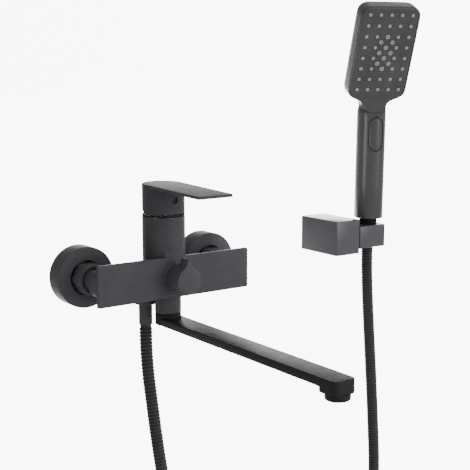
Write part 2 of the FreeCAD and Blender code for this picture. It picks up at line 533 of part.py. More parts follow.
def hose():
    outlet = ("outlet_x", "-outlet_out", "0")
    nipple = [("nipple_bore", "nipple_bottom"), ("nipple_radius", "nipple_bottom"),
              ("nipple_radius", "column_bottom - 0.05"), ("nipple_shank", "column_bottom - 0.05"),
              ("nipple_shank", "column_bottom + 7.5"), ("nipple_bore", "column_bottom + 7.5")]
    piece(turned("hose_outlet_nipple", nipple, outlet), "hose_outlet_nipple")
    piece(turned("check_valve", tube_profile("nipple_bore - 0.05", "2", "valve_bottom", "valve_bottom + 10"),
                 outlet),
          "check_valve")
    lip = "hose_nut_bottom + 2.5"
    nut = [("ferrule_radius + 0.1", "hose_nut_bottom"), ("hose_nut_radius", "hose_nut_bottom"),
           ("hose_nut_radius", "hose_nut_top"), ("nipple_radius + 0.1", "hose_nut_top"),
           ("nipple_radius + 0.1", lip), ("ferrule_radius + 0.1", lip)]
    piece(turned("hose_nut", nut, outlet), "hose_nut")
    ferrule = [("3.5", "ferrule_bottom"), ("ferrule_radius", "ferrule_bottom"),
               ("ferrule_radius", f"{lip} + 0.1"),
               ("ferrule_flange", f"{lip} + 0.1"), ("ferrule_flange", f"{lip} + 2.2"),
               ("3.5", f"{lip} + 2.2")]
    piece(turned("hose_ferrule", ferrule, outlet), "hose_ferrule")
    piece(turned("hose_seal", tube_profile("ferrule_flange", "4.6", f"{lip} + 2.3", "nipple_bottom - 0.05"),
                 outlet),
          "hose_seal")
    lower, upper = route_edges(HOSE_ROUTE)
    hose_tube("hose", lower)
    hose_tube("hose_top", upper)


# --------------------------------------------------------------- wall bracket

def bracket():
    outer = box("bracket_width", "bracket_depth", "bracket_height",
                ("bracket_left", "-bracket_depth", "bracket_bottom"))
    inner = box("bracket_width - 2 * bracket_wall", "bracket_depth - bracket_wall + 1",
                "bracket_height - 2 * bracket_wall",
                ("bracket_left + bracket_wall", "bracket_wall - bracket_depth",
                 "bracket_bottom + bracket_wall"))
    pivot_y = "holder_depth / 2 - bracket_depth"
    right = "bracket_left + bracket_width"
    pivot_hole = cylinder("pivot_radius + 0.2", "bracket_wall + 2", (f"{right} - bracket_wall - 1", pivot_y,
                                                                     "holder_level"), RIGHTWARD)
    set_hole = cylinder("2", "bracket_wall + 2", ("bracket_left + bracket_width / 2", "-bracket_plate / 2",
                                                  "bracket_bottom - 1"))
    piece(cut(outer, inner, pivot_hole, set_hole), "bracket_cover")
    play = "bracket_wall + bracket_play"
    plate = box(f"bracket_width - 2 * ({play})", "bracket_plate", f"bracket_height - 2 * ({play})",
                (f"bracket_left + {play}", "-bracket_plate", f"bracket_bottom + {play}"))
    middle = "bracket_bottom + bracket_height / 2"
    holes = [cylinder("bracket_hole", "bracket_plate + 2", ("bracket_left + bracket_width / 2", "1",
                                                            f"{middle} + {sign} * bracket_hole_spacing / 2"),
                                                            OUTWARD)
             for sign in (-1, 1)]
    piece(cut(plate, *holes), "bracket_wall_plate")
    piece(cylinder("1.9", "bracket_wall", ("bracket_left + bracket_width / 2", "-bracket_plate / 2",
                                           "bracket_bottom + 0.2")), "bracket_set_screw")
    shank = cylinder("pivot_radius", "holder_left + 3 - bracket_left - bracket_width + bracket_wall + 0.1",
                     (f"{right} - bracket_wall - 0.1", pivot_y, "holder_level"), RIGHTWARD)
    head = hexagon("10", "4", (f"{right} - bracket_wall - 4.1", pivot_y, "holder_level"), RIGHTWARD)
    piece(fuse(shank, head), "pivot_bolt")
    washer = tube_profile("washer_radius", "pivot_radius + 0.05", f"{right} + 0.1", "holder_left - 0.1")
    piece(turned("friction_washer", washer, ("0", pivot_y, "holder_level"), RIGHTWARD), "friction_washer")


HOLDER_AT = FreeCAD.Vector(size("holder_x"), size("holder_depth") / 2 - size("bracket_depth"),
                           size("holder_level"))
CONE_FRAME = FreeCAD.Placement(HOLDER_AT, FreeCAD.Rotation(FreeCAD.Vector(1, 0, 0), size("cone_tilt")))
HANDSET_TURN = FreeCAD.Rotation(FreeCAD.Vector(0, 0, 1), size("handset_yaw"))
HANDSET_FRAME = CONE_FRAME * FreeCAD.Placement(FreeCAD.Vector(), HANDSET_TURN)
HEAD_AT = FreeCAD.Vector(0, -size("chin_out"), size("chin_level"))
HEAD_TURN = FreeCAD.Rotation(FreeCAD.Vector(1, 0, 0), 90 + size("face_tilt"))
HEAD_FRAME = HANDSET_FRAME * FreeCAD.Placement(HEAD_AT, HEAD_TURN)


def stand(shape, frame, shift=(0, 0, 0)):
    shape.Placement = frame * FreeCAD.Placement(FreeCAD.Vector(*shift), FreeCAD.Rotation())
    return shape


def holder():
    block = box("holder_width", "holder_depth", "holder_height",
                ("holder_left", "-bracket_depth", "holder_level - holder_height / 2"))
    bore = cylinder("bush_radius", "2 * holder_height", ("0", "0", "-holder_height"))
    bore = stand(fuse(bore, cylinder("1", "1", ("0", "0", "0"))), CONE_FRAME)
    pivot = cylinder("pivot_radius + 0.05", "3.3", ("holder_left - 0.1", "holder_depth / 2 - bracket_depth",
                                                    "holder_level"), RIGHTWARD)
    piece(cut(block, bore, pivot), "holder_block")
    half = "holder_height / 2 - 0.9"
    bush = [("bush_end", f"-({half})"), ("bush_radius - 0.02", f"-({half})"), ("bush_radius - 0.02", half),
            ("bush_top", half)]
    body = turned("holder_bush", bush)
    body.Placement = CONE_FRAME * body.Placement
    piece(body, "holder_bush")


def cone_nut():
    half = "cone_top"
    nut = [("cone_bore", f"-{half}"), ("cone_end_radius", f"-{half}"), ("cone_top_radius", half),
           ("cone_thread", half), ("cone_thread", "cone_floor"), ("cone_bore", "cone_floor")]
    body = turned("cone_nut", nut)
    body.Placement = CONE_FRAME * body.Placement
    piece(body, "cone_nut")
    seal = turned("cone_seal", tube_profile("cone_thread - 0.1", "cone_bore + 0.6", "cone_floor + 0.05",
                                            "cone_floor + 1.95"))
    seal.Placement = CONE_FRAME * seal.Placement
    piece(seal, "cone_seal")


# ---------------------------------------------------------------- hand shower

def head_outline(inset):
    """Front outline of the head, from the chin up, drawn inset from its edge."""
    half = [("chin_half", "0"), ("chin_half + 0.8", "8"), ("chin_half + 5", "12.6"),
            ("chin_half + 11.5", "14.8"),
            ("face_half - 3.5", "18"), ("face_half - 1.4", "24"), ("face_half", "32"),
            ("face_half", "face_height - 12"), ("face_half - 2.5", "face_height - 4.5"),
            ("face_half - 8", "face_height")]
    right = [(f"{u} - {inset}", f"{v} + {inset} * {shift}")
             for (u, v), shift in zip(half, (1, 0.9, 1, 1, 0.9, 0.6, 0.2, -0.3, -0.8, -1))]
    left = [(f"-({u})", v) for u, v in reversed(right)]
    return right + left


def nozzle_places():
    """Every nozzle as (across, row, is_large): a grid of five by eight, with a large cluster in the middle."""
    places = []
    for row in range(8):
        for column in range(-2, 3):
            places.append((column, row, column == 0 and 2 <= row <= 5))
    places += [(side, row + 0.5, True) for row in (2, 3, 4) for side in (-0.54, 0.54)]
    return places


def nozzle_pegs(play, low, high):
    pegs = []
    for across, row, large in nozzle_places():
        radius = "nozzle_large" if large else "nozzle_small"
        pegs.append(cylinder(f"{radius} + {play}", f"{high} - ({low})",
                             (f"{across} * nozzle_pitch", f"nozzle_first + {row} * nozzle_pitch", low)))
    return pegs


def stadium(label, half_width, length, reach):
    """A long round-ended block that stands along Z and points along -Y from the handle's axis."""
    straight = f"({length}) / 2 - ({half_width})"
    parts = [box(f"2 * ({half_width})", reach, f"2 * ({straight})",
                 (f"-({half_width})", f"-({reach})", f"button_level - ({straight})"))]
    for sign in ("-", "+"):
        parts.append(cylinder(half_width, reach, ("0", "0", f"button_level {sign} ({straight})"), OUTWARD))
    shape = fuse(*parts)
    shape.Label = label
    return shape


def hand_shower():
    handle = cylinder("handle_radius", "handle_top - handle_bottom", ("0", "0", "handle_bottom"))
    bores = [cylinder("handle_bore", "bore_top - handle_bottom + 1", ("0", "0", "handle_bottom - 1")),
             cylinder("tube_radius + 0.1", "handle_top - 8 - bore_top", ("0", "0", "bore_top - 1")),
             cylinder("tube_bore - 1", "14", ("0", "2", "handle_top - 10"))]
    shell = padded("head_solid", head_outline("0"), "head_depth - 0.8")
    cavity = padded("head_hollow", head_outline("head_wall"), "head_depth - head_wall")
    in_handset = FreeCAD.Placement(HEAD_AT, HEAD_TURN)
    stand(shell, in_handset, (0, 0, -size("head_depth")))
    stand(cavity, in_handset, (0, 0, size("head_wall") - size("head_depth")))
    slot = stadium("button_slot", "button_half + button_play", "button_length + 2 * button_play",
                   "handle_radius + 3")
    scoop = padded("scoop", [("-chin_out", "chin_level"), ("-handle_radius - 2", "chin_level - scoop_drop"),
                             ("-handle_radius - 2", "chin_level + 20"),
                             ("-chin_out - 7.4", "chin_level + 20")],
                   "2 * face_half")
    scoop.Placement = FreeCAD.Placement(FreeCAD.Vector(-size("face_half"), 0, 0),
                                        FreeCAD.Rotation(FreeCAD.Vector(1, 1, 1), 120))
    piece(stand(cut(fuse(handle, shell), *bores, cavity, slot, scoop), HANDSET_FRAME), "handset_shell")

    face = padded("face_sheet_solid", head_outline("(head_wall + face_gap)"), "face_sheet")
    stand(face, FreeCAD.Placement(), (0, 0, -size("face_sheet")))
    piece(stand(cut(face, *nozzle_pegs("nozzle_play", "-face_sheet - 1", "1")), HEAD_FRAME), "face_plate")
    mat = padded("mat_solid", head_outline("(head_wall + 2 * face_gap)"), "mat_sheet")
    stand(mat, FreeCAD.Placement(), (0, 0, -size("face_sheet") - size("mat_sheet") - 0.1))
    pegs = nozzle_pegs("0", "-face_sheet - 0.5", "nozzle_stand")
    piece(stand(fuse(mat, *pegs), HEAD_FRAME), "nozzle_mat")
    plate = padded("spray_plate_solid", head_outline("(head_wall + 2 * face_gap)"), "spray_plate")
    stand(plate, FreeCAD.Placement(),
          (0, 0, -size("face_sheet") - size("mat_sheet") - size("spray_plate") - 3))
    openings = [cylinder("1.2", "30",
                         (f"{across} * nozzle_pitch", f"nozzle_first + {row} * nozzle_pitch", "-20"))
                for across, row, _ in nozzle_places()[::3]]
    piece(stand(cut(plate, *openings), HEAD_FRAME), "spray_plate")

    inlet_piece = [("cone_bore", "cone_floor + 2.1"), ("neck_radius", "cone_floor + 2.1"),
                   ("neck_radius", "handle_bottom - 0.6"), ("handle_bore - 0.05", "handle_bottom - 0.6"),
                   ("handle_bore - 0.05", "handle_bottom + 12"), ("cone_bore", "handle_bottom + 12")]
    body = turned("handset_inlet", inlet_piece)
    body.Placement = HANDSET_FRAME * body.Placement
    piece(body, "handset_inlet")
    insert = turned("hose_insert", tube_profile("cone_bore - 0.1", "4", "hose_end", "hose_end + 4"))
    insert.Placement = HANDSET_FRAME * insert.Placement
    piece(insert, "hose_insert")
    tube = turned("water_tube",
                  tube_profile("tube_radius", "tube_bore", "handle_bottom + 12.1", "handle_top - 10"))
    tube.Placement = HANDSET_FRAME * tube.Placement
    piece(tube, "water_tube")


def mode_button():
    block = stadium("button_block", "button_half", "button_length", "handle_radius + 3")
    dome = cylinder("button_front", "button_length + 4", ("0", "0", "button_level - button_length / 2 - 2"))
    face = doc.addObject("Part::Common", "button_face")
    face.Base = block
    face.Tool = dome
    hollow = box("3 * button_half", "button_rear + 4", "2 * button_length",
                 ("-1.5 * button_half", "-button_rear", "button_level - button_length"))
    piece(stand(cut(face, hollow), HANDSET_FRAME), "mode_button")


def check_and_write():
    doc.recompute()
    for thing in doc.Objects:
        if "Invalid" in thing.State or "Error" in thing.State:
            raise RuntimeError(f"{thing.Name} ({thing.Label}) failed: {thing.State}")
    os.makedirs("parts", exist_ok=True)
    for thing in pieces:
        shape = thing.Shape
        if shape.isNull() or not shape.isValid() or not shape.Solids:
            raise RuntimeError(f"{thing.Label} has no valid solid")
        shape.exportStep(f"parts/{thing.Label}.step")
    print(f"{len(pieces)} pieces written")


for side, sign in (("left", -1), ("right", 1)):
    inlet(side, sign)
mixer_body()
cartridge()
lever()
diverter()
spout()
hose()
bracket()
holder()
cone_nut()
hand_shower()
mode_button()
check_and_write()
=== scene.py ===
import json
import math
import bmesh
import bpy
from mathutils import Matrix, Vector


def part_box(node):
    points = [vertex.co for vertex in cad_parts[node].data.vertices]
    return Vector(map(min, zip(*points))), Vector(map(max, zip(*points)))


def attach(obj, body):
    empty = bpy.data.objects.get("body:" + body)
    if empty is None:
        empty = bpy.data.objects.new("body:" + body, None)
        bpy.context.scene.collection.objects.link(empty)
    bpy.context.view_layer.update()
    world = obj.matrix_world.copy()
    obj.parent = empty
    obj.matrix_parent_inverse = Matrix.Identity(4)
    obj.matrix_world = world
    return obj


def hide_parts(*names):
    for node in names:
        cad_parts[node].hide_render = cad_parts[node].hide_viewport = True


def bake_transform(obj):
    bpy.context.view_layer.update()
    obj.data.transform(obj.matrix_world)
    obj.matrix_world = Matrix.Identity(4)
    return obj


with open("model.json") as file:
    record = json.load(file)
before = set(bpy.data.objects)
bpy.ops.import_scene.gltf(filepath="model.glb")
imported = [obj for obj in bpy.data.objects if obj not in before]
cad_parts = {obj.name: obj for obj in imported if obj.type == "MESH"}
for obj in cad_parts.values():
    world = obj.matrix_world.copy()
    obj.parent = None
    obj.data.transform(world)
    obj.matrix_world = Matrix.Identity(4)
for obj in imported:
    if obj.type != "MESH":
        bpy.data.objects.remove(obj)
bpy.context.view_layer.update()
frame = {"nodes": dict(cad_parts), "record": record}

# Outlines and profiles are in millimetres about the place that their piece stands at.
MM = 0.001
TURN_STEPS = 96
OUT = Matrix.Rotation(math.radians(90), 4, "X")        # local +Z points away from the wall
ALONG = Matrix.Rotation(math.radians(90), 4, "Y")      # local +Z points right along the wall
CONE_TILT = 1
HANDSET_YAW = -20
FACE_TILT = 21.3


def centre(node):
    low, high = (Vector(corner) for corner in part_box(node))
    return (low + high) / 2


def corners(node):
    """The lowest and highest corner of a node, in millimetres."""
    return tuple(Vector(corner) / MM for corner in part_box(node))


def at(*point):
    """A place in the frame, from millimetres."""
    return Matrix.Translation(Vector(point) * MM)


# ------------------------------------------------------------------- materials

def shade(value):
    """The linear value of a grey given on the display's scale from 0 to 255."""
    value /= 255
    return value / 12.92 if value <= 0.04045 else ((value + 0.055) / 1.055) ** 2.4


def colour(red, green, blue):
    return (shade(red), shade(green), shade(blue), 1)


def grained(name, dark, light, rough, grain, bump, metallic=0.0, cloud=40, stretch=(1, 1, 1), specular=0.5):
    """A surface with a fine grain in its relief, and its tone and gloss clouded between two values."""
    material = bpy.data.materials.new(name)
    material.use_nodes = True
    nodes, links = material.node_tree.nodes, material.node_tree.links
    shader = nodes["Principled BSDF"]
    place = nodes.new("ShaderNodeTexCoord")
    scaled = nodes.new("ShaderNodeMapping")
    scaled.inputs["Scale"].default_value = stretch
    links.new(place.outputs["Object"], scaled.inputs["Vector"])
    clouds = nodes.new("ShaderNodeTexNoise")
    clouds.inputs["Scale"].default_value = cloud
    clouds.inputs["Detail"].default_value = 6
    clouds.inputs["Roughness"].default_value = 0.6
    links.new(scaled.outputs["Vector"], clouds.inputs["Vector"])
    fine = nodes.new("ShaderNodeTexNoise")
    fine.inputs["Scale"].default_value = grain
    fine.inputs["Detail"].default_value = 3
    links.new(scaled.outputs["Vector"], fine.inputs["Vector"])
    mixed = nodes.new("ShaderNodeMath")
    mixed.operation = "MULTIPLY_ADD"
    mixed.inputs[1].default_value = 0.6
    links.new(fine.outputs["Fac"], mixed.inputs[0])
    halved = nodes.new("ShaderNodeMath")
    halved.operation = "MULTIPLY"
    halved.inputs[1].default_value = 0.4
    links.new(clouds.outputs["Fac"], halved.inputs[0])
    links.new(halved.outputs[0], mixed.inputs[2])
    tone = nodes.new("ShaderNodeValToRGB")
    tone.color_ramp.elements[0].position = 0.35
    tone.color_ramp.elements[0].color = colour(*dark)
    tone.color_ramp.elements[1].position = 0.65
    tone.color_ramp.elements[1].color = colour(*light)
    links.new(mixed.outputs[0], tone.inputs["Fac"])
    links.new(tone.outputs["Color"], shader.inputs["Base Color"])
    gloss = nodes.new("ShaderNodeMapRange")
    gloss.inputs["To Min"].default_value = rough[0]
    gloss.inputs["To Max"].default_value = rough[1]
    links.new(clouds.outputs["Fac"], gloss.inputs["Value"])
    links.new(gloss.outputs["Result"], shader.inputs["Roughness"])
    relief = nodes.new("ShaderNodeBump")
    relief.inputs["Strength"].default_value = bump
    relief.inputs["Distance"].default_value = 0.0002
    links.new(fine.outputs["Fac"], relief.inputs["Height"])
    links.new(relief.outputs["Normal"], shader.inputs["Normal"])
    shader.inputs["Metallic"].default_value = metallic
    shader.inputs["Specular IOR Level"].default_value = specular
    return material


LOOKS = {
    "body": grained("black_coat", (51, 51, 54), (62, 62, 65), (0.45, 0.55), 2600, 0.35, specular=0.06),
    "trim": grained("black_trim", (53, 53, 56), (64, 64, 67), (0.42, 0.52), 2600, 0.3, specular=0.07),
    "spout": grained("black_spout", (26, 26, 28), (35, 35, 38), (0.44, 0.54), 2600, 0.3, specular=0.05),
    "lever": grained("black_lever", (51, 51, 54), (62, 62, 65), (0.5, 0.6), 2600, 0.3, specular=0.028),
    "bracket": grained("black_bracket", (44, 43, 47), (54, 53, 57), (0.26, 0.34), 1800, 0.15, specular=0.35),
    "handset": grained("black_handset", (42, 42, 43), (50, 50, 51), (0.30, 0.38), 2200, 0.15, specular=0.22),
    "face": grained("black_face", (46, 46, 47), (62, 62, 63), (0.55, 0.65), 1500, 0.8, specular=0.1),
    "nozzle": grained("grey_nozzle", (100, 100, 99), (120, 120, 118), (0.6, 0.7), 1500, 0.2),
    "hose": grained("black_hose", (34, 34, 37), (46, 46, 50), (0.35, 0.45), 1600, 0.2, specular=0.1),
    "brass": grained("turned_brass", (150, 118, 62), (186, 152, 90), (0.25, 0.4), 1400, 0.2, 1.0, 90,
                     (1, 1, 9)),
    "steel": grained("brushed_steel", (140, 142, 146), (182, 184, 188), (0.25, 0.4), 1400, 0.2, 1.0, 90,
                     (1, 1, 9)),
    "rubber": grained("black_rubber", (20, 20, 20), (30, 30, 30), (0.6, 0.8), 1200, 0.3, specular=0.1),
    "plastic": grained("pale_plastic", (196, 196, 190), (216, 216, 210), (0.4, 0.5), 900, 0.15),
    "ceramic": grained("white_ceramic", (206, 204, 196), (224, 222, 216), (0.12, 0.2), 700, 0.05),
    # painted shade: a near-black copy of the black coat, put on parts that sit in shaded gaps
    "shadowed": grained("painted_shade_dark", (16, 16, 17), (24, 24, 25), (0.6, 0.7), 900, 0.1, specular=0.1),
}


def repaint(node, slot):
    mesh = frame["nodes"][node].data
    mesh.materials.clear()
    mesh.materials.append(LOOKS[slot])


for entry in frame["record"]["subparts"]:
    repaint(entry["node"], entry["material_slot"])

# ---------------------------------------------------------------- mesh makers


def rounded(points, steps=5):
    """An outline in which each corner that has a third number is rounded to that radius."""
    outline = []
    for n, point in enumerate(points):
        here = Vector(point[:2])
        radius = point[2] if len(point) > 2 else 0
        if not radius:
            outline.append(here)
            continue
        back = Vector(points[n - 1][:2]) - here
        ahead = Vector(points[(n + 1) % len(points)][:2]) - here
        half = back.angle(ahead) / 2
        reach = min(radius / math.tan(half), 0.48 * back.length, 0.48 * ahead.length)
        middle = here + (back.normalized() + ahead.normalized()).normalized() * (reach / math.cos(half))
        start = here + back.normalized() * reach - middle
        finish = here + ahead.normalized() * reach - middle
        sweep = math.atan2(start.x * finish.y - start.y * finish.x, start.dot(finish))
        for k in range(steps + 1):
            angle = sweep * k / steps
            outline.append(middle + Vector((start.x * math.cos(angle) - start.y * math.sin(angle),
                                            start.x * math.sin(angle) + start.y * math.cos(angle))))
    return outline


def lathe(profile, steps=TURN_STEPS, corner_steps=5):
    """A turned solid from a closed outline of (radius, height) about Z."""
    made = bmesh.new()
    points = rounded(profile, corner_steps)
    verts = [made.verts.new((max(p.x, 0), 0, p.y)) for p in points]
    pairs = [(a, b) for a, b in zip(verts, verts[1:] + verts[:1]) if a.co.x > 1e-6 or b.co.x > 1e-6]
    edges = [made.edges.new(pair) for pair in pairs]
    bmesh.ops.spin(made, geom=verts + edges, cent=(0, 0, 0), axis=(0, 0, 1), angle=2 * math.pi,
                   steps=steps, use_merge=True)
    bmesh.ops.remove_doubles(made, verts=made.verts, dist=1e-4)
    bmesh.ops.recalc_face_normals(made, faces=made.faces)
    return made


def loft(rings, closed=False):
    """A solid through rings of equally many points: capped at both ends, or closed into a loop."""
    made = bmesh.new()
    loops = [[made.verts.new(point) for point in ring] for ring in rings]
    pairs = list(zip(loops, loops[1:])) + ([(loops[-1], loops[0])] if closed else [])
    for low, high in pairs:
        for n in range(len(low)):
            after = (n + 1) % len(low)
            made.faces.new((low[n], low[after], high[after], high[n]))
    if not closed:
        made.faces.new(loops[0][::-1])
        made.faces.new(loops[-1])
    bmesh.ops.recalc_face_normals(made, faces=made.faces)
    return made


def soften(made, edges, width, segments=3):
    bmesh.ops.bevel(made, geom=edges, offset=width, offset_type="OFFSET", segments=segments, profile=0.5,
                    affect="EDGES", material=-1)
    return made


def slab(outline, low, high, edge=0.5, segments=3, corner_steps=6):
    """An outline in X and Y made solid between two heights, its rims rounded."""
    points = rounded(outline, corner_steps)
    made = loft([[(p.x, p.y, z) for p in points] for z in (low, high)])
    if edge:
        rims = [e for e in made.edges if abs(e.verts[0].co.z - e.verts[1].co.z) < 1e-6]
        soften(made, rims, edge, segments)
    return made


def block(low, high, edge=0.6, segments=3):
    """A box between two corners with every edge rounded."""
    made = bmesh.new()
    size = Vector(high) - Vector(low)
    bmesh.ops.create_cube(made, size=1, matrix=Matrix.Translation((Vector(low) + Vector(high)) / 2)
                          @ Matrix.Diagonal((*size, 1)))
    return soften(made, list(made.edges), edge, segments)


def nut(flats, low, high, bore, chamfer=1.1, steps=96):
    """A hexagonal ring with its corners turned down at both ends and its bore countersunk at the top."""
    tip = flats / math.sqrt(3) - 0.9
    face = flats / 2 - 0.2

    def ring(reach, height):
        points = []
        for n in range(steps):
            angle = 2 * math.pi * n / steps
            side = (angle + math.pi / 6) % (math.pi / 3) - math.pi / 6
            radius = min(flats / 2 / math.cos(side), reach)
            points.append((radius * math.sin(angle), radius * math.cos(angle), height))
        return points

    def round_ring(radius, height):
        turns = [2 * math.pi * n / steps for n in range(steps)]
        return [(radius * math.sin(turn), radius * math.cos(turn), height) for turn in turns]

    rings = [ring(face, low), ring(tip, low + chamfer), ring(tip, high - chamfer), ring(face, high),
             round_ring(bore + 1.9, high), round_ring(bore + 1.5, high - 0.3),
             round_ring(bore, high - 1.8), round_ring(bore, low)]
    return loft(rings, closed=True)


def join(first, *others):
    """One mesh of several, the others emptied into the first."""
    for other in others:
        scratch = bpy.data.meshes.new("scratch")
        other.to_mesh(scratch)
        first.from_mesh(scratch)
        other.free()
        bpy.data.meshes.remove(scratch)
    return first


def moved(made, matrix):
    made.transform(matrix)
    return made


def shift(x=0.0, y=0.0, z=0.0):
    """A move in millimetres within a piece."""
    return Matrix.Translation((x, y, z))


def piece(name, made, body, slot, *nodes, place=None, sharp=34, look=None):
    """The finished object: in metres, smooth except at sharp edges, riding on its body."""
    made.transform((place or Matrix()) @ Matrix.Scale(MM, 4))
    mesh = bpy.data.meshes.new(name)
    made.to_mesh(mesh)
    made.free()
    mesh.polygons.foreach_set("use_smooth", [True] * len(mesh.polygons))
    mesh.set_sharp_from_angle(angle=math.radians(sharp))
    mesh.materials.append(LOOKS[look or slot])
    thing = bpy.data.objects.new(name, mesh)
    bpy.context.scene.collection.objects.link(thing)
    if body:
        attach(thing, body)
    if nodes:
        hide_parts(*nodes)
    return thing


def combined(operation, first, *others):
    """One solid of several: each of the others is added to the first or taken out of it."""
    things = []
    for made in (first, *others):
        mesh = bpy.data.meshes.new("scratch")
        made.to_mesh(mesh)
        made.free()
        thing = bpy.data.objects.new("scratch", mesh)
        bpy.context.scene.collection.objects.link(thing)
        things.append(thing)
    for tool in things[1:]:
        step = things[0].modifiers.new("step", "BOOLEAN")
        step.operation = operation
        step.solver = "EXACT"
        step.object = tool
    bpy.context.view_layer.update()
    shape = bpy.data.meshes.new_from_object(things[0].evaluated_get(bpy.context.evaluated_depsgraph_get()))
    made = bmesh.new()
    made.from_mesh(shape)
    bmesh.ops.remove_doubles(made, verts=made.verts, dist=1e-3)
    for thing in things:
        bpy.data.objects.remove(thing)
    return made


def carved(first, *cutters):
    return combined("DIFFERENCE", first, *cutters)


def united(*parts):
    return combined("UNION", *parts)


def crease(made, width, angle=40, segments=3):
    """Rounds every edge that turns by more than the angle."""
    sharp = [e for e in made.edges if len(e.link_faces) == 2 and e.calc_face_angle() > math.radians(angle)]
    return soften(made, sharp, width, segments)


# --------------------------------------------------------------- camera, stage

CAMERA_PLACE = (-0.57135, -0.96436, 0.21859)
CAMERA_TURN = 35.81             # to the right of straight at the wall
CAMERA_DOWN = 9.47
CAMERA_LENS = 81.92
SENSOR = 36


def camera():
    data = bpy.data.cameras.new("camera")
    data.lens = CAMERA_LENS
    data.sensor_width = SENSOR
    data.clip_end = 30
    viewer = bpy.data.objects.new("camera", data)
    viewer.location = CAMERA_PLACE
    viewer.rotation_euler = (math.radians(90 - CAMERA_DOWN), 0, math.radians(-CAMERA_TURN))
    bpy.context.scene.collection.objects.link(viewer)
    bpy.context.scene.camera = viewer


def area_light(name, place, target, width, height, power):
    data = bpy.data.lights.new(name, "AREA")
    data.shape = "RECTANGLE"
    data.size = width
    data.size_y = height
    data.energy = power
    lamp = bpy.data.objects.new(name, data)
    lamp.location = place
    lamp.visible_camera = False
    lamp.rotation_euler = (Vector(target) - Vector(place)).to_track_quat("-Z", "Y").to_euler()
    bpy.context.scene.collection.objects.link(lamp)


# The view's level directions, and how bright the room is beyond the set and on its two sides.
AHEAD = Vector((0.585, 0.811, 0))
ACROSS = Vector((0.811, -0.585, 0))
BACKDROP = 8.0
ROOM_LEFT = 0.5
ROOM_RIGHT = 1.9
FLOOR_LEVEL = -620
FLOOR_HALF = 20000


def dotted(tree, vector, direction):
    """The part of a vector that lies along a fixed direction."""
    dot = tree.nodes.new("ShaderNodeVectorMath")
    dot.operation = "DOT_PRODUCT"
    tree.links.new(vector, dot.inputs[0])
    dot.inputs[1].default_value = direction
    return dot.outputs["Value"]


def ranged(tree, value, low, high, to_low, to_high):
    """A value eased from one range into another."""
    node = tree.nodes.new("ShaderNodeMapRange")
    node.interpolation_type = "SMOOTHSTEP"
    for name, number in (("From Min", low), ("From Max", high), ("To Min", to_low), ("To Max", to_high)):
        node.inputs[name].default_value = number
    tree.links.new(value, node.inputs["Value"])
    return node.outputs["Result"]


def combine(tree, operation, first, second):
    node = tree.nodes.new("ShaderNodeMath")
    node.operation = operation
    for socket, value in zip(node.inputs, (first, second)):
        if isinstance(value, (int, float)):
            socket.default_value = value
        else:
            tree.links.new(value, socket)
    return node.outputs[0]


def studio():
    """A room brightest beyond the set and dim on its left, with a pale floor that runs into the backdrop."""
    world = bpy.data.worlds.new("studio")
    bpy.context.scene.world = world
    world.use_nodes = True
    tree = world.node_tree
    direction = tree.nodes.new("ShaderNodeTexCoord").outputs["Generated"]
    beyond = ranged(tree, dotted(tree, direction, AHEAD), 0.88, 0.97, 0.0, BACKDROP)
    aside = ranged(tree, dotted(tree, direction, ACROSS), -0.95, 0.95, ROOM_LEFT, ROOM_RIGHT)
    tree.links.new(combine(tree, "ADD", beyond, aside), tree.nodes["Background"].inputs["Strength"])
    tree.nodes["Background"].inputs["Color"].default_value = (1, 1, 1, 1)
    area_light("overhead", (0.1, -0.5, 1.5), (0.15, -0.05, 0), 1.4, 1.0, 4.5)
    area_light("front_right", (0.9, -1.9, 0.4), (0.15, -0.05, 0.0), 0.6, 1.2, 17)
    area_light("handle_strip", (0.083, -0.076, 0.1), (0.28, -0.05, 0.1), 0.035, 0.14, 0.3)
    square = [(x * FLOOR_HALF, y * FLOOR_HALF) for x, y in ((-1, -1), (1, -1), (1, 1), (-1, 1))]
    floor = slab(square, FLOOR_LEVEL - 4, FLOOR_LEVEL, edge=0)
    floor.transform(Matrix.Scale(MM, 4))
    mesh = bpy.data.meshes.new("studio_floor")
    floor.to_mesh(mesh)
    floor.free()
    pale = grained("pale_floor", (246, 246, 246), (252, 252, 252), (0.8, 0.9), 300, 0.02)
    tree = pale.node_tree
    place = tree.nodes.new("ShaderNodeNewGeometry").outputs["Position"]
    ahead = combine(tree, "ADD", dotted(tree, place, AHEAD), 1.2)
    sideways = combine(tree, "ABSOLUTE", dotted(tree, place, ACROSS), 0)
    narrow = ranged(tree, combine(tree, "DIVIDE", sideways, ahead), 0.26, 0.55, 1.0, 0.0)
    far = ranged(tree, ahead, 1.5, 2.2, 0.0, BACKDROP)
    shader = tree.nodes["Principled BSDF"]
    shader.inputs["Emission Color"].default_value = (1, 1, 1, 1)
    tree.links.new(combine(tree, "MULTIPLY", narrow, far), shader.inputs["Emission Strength"])
    mesh.materials.append(pale)
    stage = bpy.data.objects.new("studio_floor", mesh)
    bpy.context.scene.collection.objects.link(stage)


camera()
studio()

# ----------------------------------------------------------- hose end at mixer

outlet = Matrix.Translation((centre("hose_nut").x, centre("hose_nut").y, 0))
nut_profile = [(10.6, -18, 0.3), (12.2, -18, 0.5), (12.2, -34, 1.0), (7.2, -34, 0.3), (7.2, -31.5),
               (10.6, -31.5)]
sleeve_profile = [(3.5, -56), (7.1, -56, 0.5), (7.1, -31.4), (10, -31.4), (10, -29.3), (3.5, -29.3)]
piece("outlet_nut", lathe(nut_profile), "root", "trim", "hose_nut", place=outlet)
sleeve = piece("hose_sleeve", lathe(sleeve_profile), "root", "trim", "hose_ferrule", place=outlet)

# ------------------------------------------------------------------------ hose

